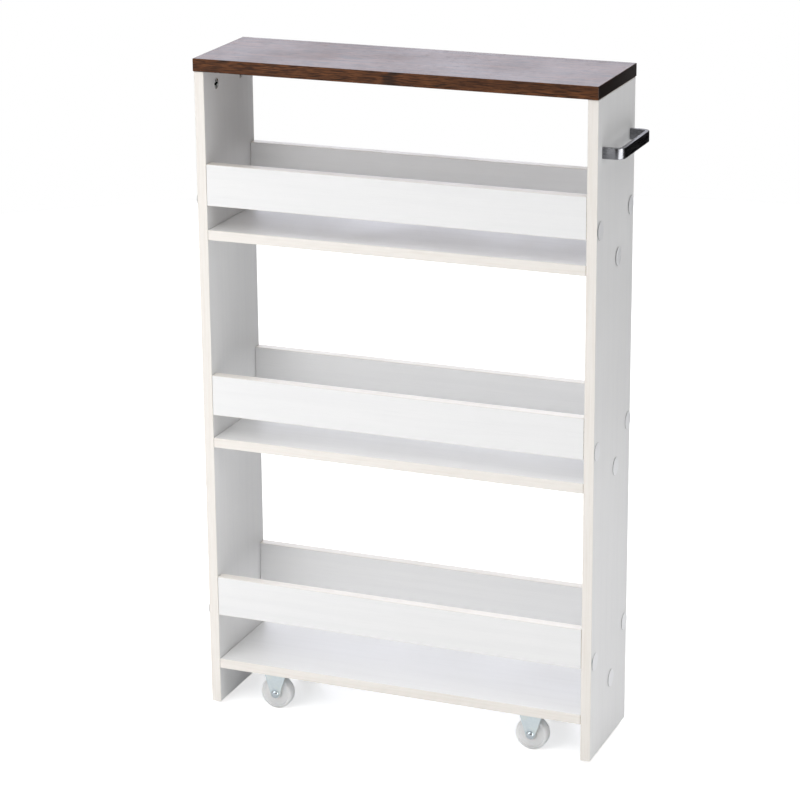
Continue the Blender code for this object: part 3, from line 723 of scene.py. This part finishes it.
def combined(name, mesh, steps, edge=0.0):
    """The mesh after Boolean steps of (operation, bmesh) and eased edges."""
    obj = bpy.data.objects.new(name, mesh)
    bpy.context.scene.collection.objects.link(obj)
    tools = []
    for operation, bm in steps:
        tool = bpy.data.objects.new(f"{name}_tool", mesh_of(bm, f"{name}_tool"))
        bpy.context.scene.collection.objects.link(tool)
        modifier = obj.modifiers.new(operation, "BOOLEAN")
        modifier.operation = operation
        modifier.object = tool
        tools.append(tool)
    if edge:
        modifier = obj.modifiers.new("eased_edges", "BEVEL")
        modifier.width = edge
        modifier.segments = 2
        modifier.limit_method = "ANGLE"
    bpy.context.view_layer.update()
    finished = obj.evaluated_get(bpy.context.evaluated_depsgraph_get())
    result = bpy.data.meshes.new_from_object(finished)
    for used in (obj, *tools):
        bpy.data.objects.remove(used, do_unlink=True)
    smooth(result)
    return result


# Boards


def dress(node, material):
    """Gives a frame node this material."""
    obj = frame["nodes"][node]
    for slot in obj.material_slots:
        slot.material = material


def dress_boards():
    for node in frame["nodes"]:
        low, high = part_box(node)
        if node == "top_panel":
            dress(node, walnut_laminate(node, low, high))
        elif node.endswith("side_panel"):
            dress(node, white_laminate(node, low, high, grain=2, banded=(1, 2)))
        elif node.endswith("_shelf"):
            dress(node, white_laminate(node, low, high, grain=0, banded=(1,)))
        elif node.endswith("_rail"):
            dress(node, white_laminate(node, low, high, grain=0, banded=(2,)))


def dress_fittings(zinc):
    for node in frame["nodes"]:
        if "_screw_" in node or node.endswith("_cam_bolt"):
            dress(node, zinc)


def cam_lock_mesh(radius, length):
    """A die-cast cam along -Z from its face on z = 0, with a cross and an arrow sunk in it."""
    outline = [(0, -length), (radius - CAM_CHAMFER, -length), (radius, CAM_CHAMFER - length)]
    outline += [(radius, -CAM_CHAMFER), (radius - CAM_CHAMFER, 0), (0, 0)]
    body = mesh_of(turned(outline, CAM_SIDES), "cam_lock")
    (foot, foot_half), (tip, tip_half) = CAM_ARM
    arm = [(foot, -foot_half), (tip, -tip_half), (tip, tip_half), (foot, foot_half)]
    cuts = []
    for quarter in range(4):
        sunk = Matrix.Translation((0, 0, -CAM_CROSS_DEPTH))
        turn = Matrix.Rotation(CAM_TURN + quarter * math.pi / 2, 4, "Z")
        cuts.append(("DIFFERENCE", prism(arm, 2 * CAM_CROSS_DEPTH, turn @ sunk)))
    sunk = Matrix.Translation((0, 0, -CAM_ARROW_DEPTH))
    turn = Matrix.Rotation(CAM_ARROW_TURN, 4, "Z")
    arrow = prism([(u * MM, v * MM) for u, v in CAM_ARROW], 2 * CAM_ARROW_DEPTH, turn @ sunk)
    cuts.append(("DIFFERENCE", arrow))
    return combined("cam_lock", body, cuts)


def add_cam_locks():
    face = (2, 0.0)
    material = zinc_plate("cam_zinc", *CAM_ZINC, 0.38, face, 0.7)
    mesh = None
    for node in frame["nodes"]:
        if not node.endswith("_cam_lock"):
            continue
        low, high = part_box(node)
        axis = thin_axis(low, high)
        if mesh is None:
            across = high[(axis + 1) % 3] - low[(axis + 1) % 3]
            mesh = cam_lock_mesh(across / 2, high[axis] - low[axis])
        opens_high = node.startswith("top_left")
        facing = Vector([(1 if opens_high else -1) if i == axis else 0 for i in range(3)])
        face = (low + high) / 2
        face[axis] = (high if opens_high else low)[axis]
        lock = add_piece(f"{node}_cast", mesh, material)
        lock.matrix_world = towards(facing, face)
        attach(lock, "cabinet")
        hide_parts(node)


# Cover caps


def cap_mesh():
    """A thin disc with a softened rim, lying on z = 0."""
    rounding = (CAP_RADIUS - CAP_ROUNDING, CAP_THICKNESS - CAP_ROUNDING)
    rim = arc(rounding, CAP_ROUNDING, 0, 90, 4)
    halfway = (CAP_RADIUS / 2, (CAP_THICKNESS + CAP_CROWN) / 2)
    outline = [(0, 0), (CAP_RADIUS, 0), *rim, halfway, (0, CAP_CROWN)]
    mesh = mesh_of(turned(outline, CAP_SIDES), "cover_cap")
    smooth(mesh, 50)
    return mesh


def cap_slips(side):
    """How far, in mm, each cap missed its screw along Y and Z, as a hand places them."""
    if side == "right":
        return {
            ("upper_rail", "_front"): (5.8, 0.5),
            ("middle_rail", "_front"): (5.0, -1.0),
            ("bottom_rail", "_front"): (7.5, -3.0),
            ("upper_rail", "_back"): (-5.3, 3.5),
            ("middle_rail", "_back"): (-3.2, 1.0),
            ("bottom_rail", "_back"): (-4.2, 5.0),
            ("upper_shelf", ""): (1.4, -2.0),
            ("middle_shelf", ""): (4.1, 2.0),
            ("bottom_shelf", ""): (0.0, 0.0),
        }
    dice = random.Random(4)
    slips = {}
    for tier in ("upper", "middle", "bottom"):
        for end, inward in (("_front", 1), ("_back", -1)):
            slips[f"{tier}_rail", end] = (inward * dice.uniform(3.2, 7.0), dice.uniform(-3.0, 3.0))
        slips[f"{tier}_shelf", ""] = (dice.uniform(-3.5, 3.5), dice.uniform(-3.0, 3.0))
    return slips


def add_caps():
    mesh, material = cap_mesh(), cap_film()
    for side, way in (("left", -1), ("right", 1)):
        low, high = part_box(f"{side}_side_panel")
        face_x = (high if way > 0 else low).x + way * CAP_GAP
        for (board, end), slip in cap_slips(side).items():
            screw = f"{board}_screw_{side}{end}"
            if screw in frame["nodes"]:
                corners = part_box(screw)
                y, z = ((corners[0] + corners[1]) / 2).yz
            else:
                y, z = LOW_CAP_PLACE
            cap = add_piece(f"cover_cap_{side}_{board}{end}", mesh, material)
            lift = CAP_LIFT[board.split("_")[0]] if side == "right" else LEFT_CAP_LIFT
            off_board = Vector((CAP_RADIUS * math.sin(lift) * way, 0, 0))
            centre = Vector((face_x, y + slip[0] * MM, z + slip[1] * MM)) + off_board
            cap.matrix_world = towards(Vector((way * math.cos(lift), math.sin(lift), 0)), centre)
            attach(cap, "cabinet")


# Pull handle


def handle_section():
    """The bar's cross-section as (across, up) from its middle, its corners rounded."""
    low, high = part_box("pull_handle")
    return rounded_rectangle(HANDLE_BAR, high.z - low.z, HANDLE_EDGE, HANDLE_EDGE_STEPS)


def handle_path():
    """Places and outward directions along the bar's middle line, from foot to foot."""
    low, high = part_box("pull_handle")
    radius = HANDLE_BEND - HANDLE_BAR / 2
    centre_z = (low.z + high.z) / 2
    bend_x = high.x - HANDLE_BEND
    path = [(Vector((low.x, low.y + HANDLE_BAR / 2, centre_z)), -Y)]
    for middle_y, start in ((low.y + HANDLE_BEND, -90), (high.y - HANDLE_BEND, 0)):
        for u, v in arc((0, 0), 1, start, start + 90, HANDLE_BEND_STEPS):
            out = Vector((u, v, 0))
            path.append((Vector((bend_x, middle_y, centre_z)) + radius * out, out))
    path.append((Vector((low.x, high.y - HANDLE_BAR / 2, centre_z)), Y))
    return path


def handle_mesh():
    bm = bmesh.new()
    section = handle_section()
    rings = [[bm.verts.new(at + u * out + v * Z) for u, v in section] for at, out in handle_path()]
    for ring, following in zip(rings, rings[1:]):
        for i in range(len(section)):
            j = (i + 1) % len(section)
            bm.faces.new((ring[i], ring[j], following[j], following[i]))
    bm.faces.new(rings[0])
    bm.faces.new(rings[-1])
    bmesh.ops.recalc_face_normals(bm, faces=bm.faces)
    mesh = mesh_of(bm, "pull_handle_bar")
    low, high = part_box("pull_handle")
    bores = []
    for y in (low.y + HANDLE_BAR / 2, high.y - HANDLE_BAR / 2):
        inward = towards(X, (low.x, y, (low.z + high.z) / 2))
        bores.append(
            drill(HANDLE_SCREW_BORE, -MM, HANDLE_SCREW_DEPTH, HANDLE_SCREW_SIDES, inward)
        )
    return combined("pull_handle_bar", mesh, bores)


def add_handle():
    handle = add_piece("pull_handle_bar", handle_mesh(), satin_nickel())
    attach(handle, "cabinet")
    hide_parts("pull_handle")


# Casters. Each mesh has the axle along Y through the origin.


def wheel_mesh(radius, half_width, hub_half):
    """A crowned wheel with rounded shoulders, a sunk web and a proud hub with its bore."""
    rim, floor = radius - WHEEL_RIM, half_width - WHEEL_RECESS
    crown = (radius - WHEEL_CROWN * 0.25, half_width * 0.5)
    rounding = (radius - WHEEL_CROWN - WHEEL_SHOULDER, half_width - WHEEL_SHOULDER)
    edge = (rim + WHEEL_RIM_EDGE, half_width - WHEEL_RIM_EDGE)
    foot = (rim - WHEEL_RIM_FOOT - WHEEL_RIM_DRAFT, floor + WHEEL_RIM_FOOT)
    hub_foot = (WHEEL_HUB_RADIUS + WHEEL_HUB_FOOT, floor + WHEEL_HUB_FOOT)
    hub_edge = (WHEEL_HUB_RADIUS - WHEEL_HUB_EDGE, hub_half - WHEEL_HUB_EDGE)
    face = [
        crown,
        *arc(rounding, WHEEL_SHOULDER, 0, 90, 6),
        *arc(edge, WHEEL_RIM_EDGE, 90, 180, 4),
        *arc(foot, WHEEL_RIM_FOOT, 0, -90, 4),
        (foot[0], floor),
        (WHEEL_HUB_RADIUS + 1.5 * WHEEL_HUB_FOOT, floor),
        *arc(hub_foot, WHEEL_HUB_FOOT, -90, -180, 3),
        *arc(hub_edge, WHEEL_HUB_EDGE, 0, 90, 3),
        (WHEEL_BORE, hub_half),
    ]
    mirrored = [(r, -h) for r, h in reversed(face)]
    outline = [(radius, 0), *face, *mirrored]
    mesh = mesh_of(turned(outline, WHEEL_SIDES, closed=True, matrix=towards(Y)), "wheel")
    smooth(mesh, 40)
    return mesh


def dome(radius, height, rim, steps=8):
    """Outline of a rivet head from its seat, out round the rim and up to the axis."""
    curve = [(radius * u, rim + (height - rim) * v) for u, v in arc((0, 0), 1, 0, 90, steps)]
    return [(radius, 0), *curve[:-1], (0, height)]


def axle_mesh():
    seat = FORK_INSIDE + FORK_SHEET + GAP
    head = dome(AXLE_HEAD_RADIUS, AXLE_HEAD_HEIGHT, AXLE_HEAD_RIM)
    tail = dome(AXLE_TAIL_RADIUS, AXLE_TAIL_HEIGHT, AXLE_HEAD_RIM)
    outline = [(r, -seat - h) for r, h in reversed(tail)]
    outline += [(AXLE_RADIUS, -seat), (AXLE_RADIUS, seat)]
    outline += [(r, seat + h) for r, h in head]
    mesh = mesh_of(turned(outline, AXLE_SIDES), "axle")
    smooth(mesh, 50)
    return mesh


def cheek_outline(top):
    """The tapered cheek round the axle at the origin and up to this height."""
    corner = Vector((FORK_TOP_WIDTH / 2, top))
    to_corner = math.degrees(math.atan2(corner.y, corner.x))
    start = to_corner - math.degrees(math.acos(FORK_TIP_RADIUS / corner.length))
    tip = arc((0, 0), FORK_TIP_RADIUS, start, -180 - start, CHEEK_SIDES)
    return tip + [(-corner.x, corner.y), (corner.x, corner.y)]


def plate_holes():
    return [(i * PLATE_HOLE.x, j * PLATE_HOLE.y) for i in (-1, 1) for j in (-1, 1)]


def bracket_mesh(plate_size, plate_top):
    """The stamped plate, its screw holes, and two cheeks bored for the axle."""
    plate_bottom = plate_top - PLATE_THICKNESS
    outline = rounded_rectangle(plate_size.x, plate_size.y, PLATE_CORNER, 8)
    plate = prism(outline, PLATE_THICKNESS, Matrix.Translation((0, 0, plate_bottom)))
    upright = Matrix.Rotation(math.pi / 2, 4, "X")
    outline = cheek_outline(plate_bottom + PLATE_THICKNESS / 2)
    steps = []
    for y in (-FORK_INSIDE, FORK_INSIDE + FORK_SHEET):
        cheek = prism(outline, FORK_SHEET, Matrix.Translation((0, y, 0)) @ upright)
        steps.append(("UNION", cheek))
    across = FORK_INSIDE + 2 * FORK_SHEET
    steps.append(drill(AXLE_RADIUS + GAP, -across, across, AXLE_SIDES, towards(Y)))
    for u, v in plate_holes():
        place = Matrix.Translation((u, v, 0))
        steps.append(drill(PLATE_HOLE_RADIUS, plate_bottom - MM, plate_top + MM, 32, place))
    return combined("bracket", mesh_of(plate, "bracket"), steps, edge=FORK_EDGE)


def plate_screw_mesh():
    """A small pan-head screw along +Z, its head below the origin, with a cross recess."""
    outline = [*SCREW_HEAD]
    for turn in range(SCREW_TURNS):
        base = SCREW_THREAD_START + turn * SCREW_PITCH
        outline += [(SCREW_CORE, base), (SCREW_CREST, base + SCREW_PITCH / 2)]
    outline += SCREW_TIP
    outline = [(radius * MM, height * MM) for radius, height in outline]
    screw = mesh_of(turned(outline, SCREW_SIDES), "plate_screw")
    length, width, depth = SCREW_SLOT
    top = Matrix.Translation((0, 0, SCREW_HEAD[0][1] * MM))
    cuts = []
    for along_x, along_y in ((length, width), (width, length)):
        bm = bmesh.new()
        scale = Matrix.Diagonal((along_x * MM, along_y * MM, depth * MM, 1))
        bmesh.ops.create_cube(bm, size=1, matrix=top @ scale)
        cuts.append(("DIFFERENCE", bm))
    return combined("plate_screw", screw, cuts)


def add_casters(zinc, bright):
    milky = nylon()
    names = [f"{end}_{side}" for end in ("front", "back") for side in ("left", "right")]
    low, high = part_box(f"caster_bracket_{names[0]}")
    wheel_low, wheel_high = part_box(f"caster_wheel_{names[0]}")
    hub_half = (wheel_high.y - wheel_low.y) / 2
    axle_z = (wheel_high.z + wheel_low.z) / 2
    plate_size = Vector((high.x - low.x, high.y - low.y))
    wheel = wheel_mesh(axle_z, hub_half - WHEEL_HUB_PROUD, hub_half)
    axle, bracket = axle_mesh(), bracket_mesh(plate_size, high.z - axle_z)
    screw = plate_screw_mesh()
    for name in names:
        wheel_low, wheel_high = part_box(f"caster_wheel_{name}")
        place = (wheel_low + wheel_high) / 2
        place.z = axle_z
        fore = 1 if name.startswith("back") else -1
        parts = (
            ("wheel", "fixed_wheel", wheel, milky, "nylon", f"wheel_{name}", Matrix()),
            ("bracket", "fork", bracket, zinc, "zinc_steel", "cabinet", Matrix()),
            ("axle", "rivet", axle, bright, "zinc_steel", "cabinet", towards(fore * Y)),
        )
        for kind, label, mesh, material, slot, body, turn in parts:
            piece = add_piece(f"{label}_{name}", mesh, material)
            piece.matrix_world = Matrix.Translation(place) @ turn
            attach(piece, body)
            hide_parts(f"caster_{kind}_{name}")
        for number, (u, v) in enumerate(plate_holes(), start=1):
            piece = add_piece(f"plate_screw_{name}_{number}", screw, bright)
            seat = high.z - PLATE_THICKNESS
            turn = Matrix.Rotation(random.Random(number + 10 * fore).uniform(0, 3), 4, "Z")
            piece.matrix_world = Matrix.Translation((place.x + u, place.y + v, seat)) @ turn
            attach(piece, "cabinet")


for left_over in list(bpy.data.objects):
    bpy.data.objects.remove(left_over, do_unlink=True)
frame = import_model()
cad_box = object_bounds()
middle = (cad_box[0] + cad_box[1]) / 2
bpy.context.scene.view_settings.view_transform = "Standard"
add_camera(middle)
add_world()
add_softboxes(middle)
add_cards(middle)
add_floor()
dress_boards()
zinc_material = zinc_plate("zinc_steel", *MATT_ZINC, 0.36)
bright_zinc = zinc_plate("bright_zinc", *BRIGHT_ZINC, 0.17)
dress_fittings(zinc_material)
add_cam_locks()
add_caps()
add_handle()
add_casters(zinc_material, bright_zinc)
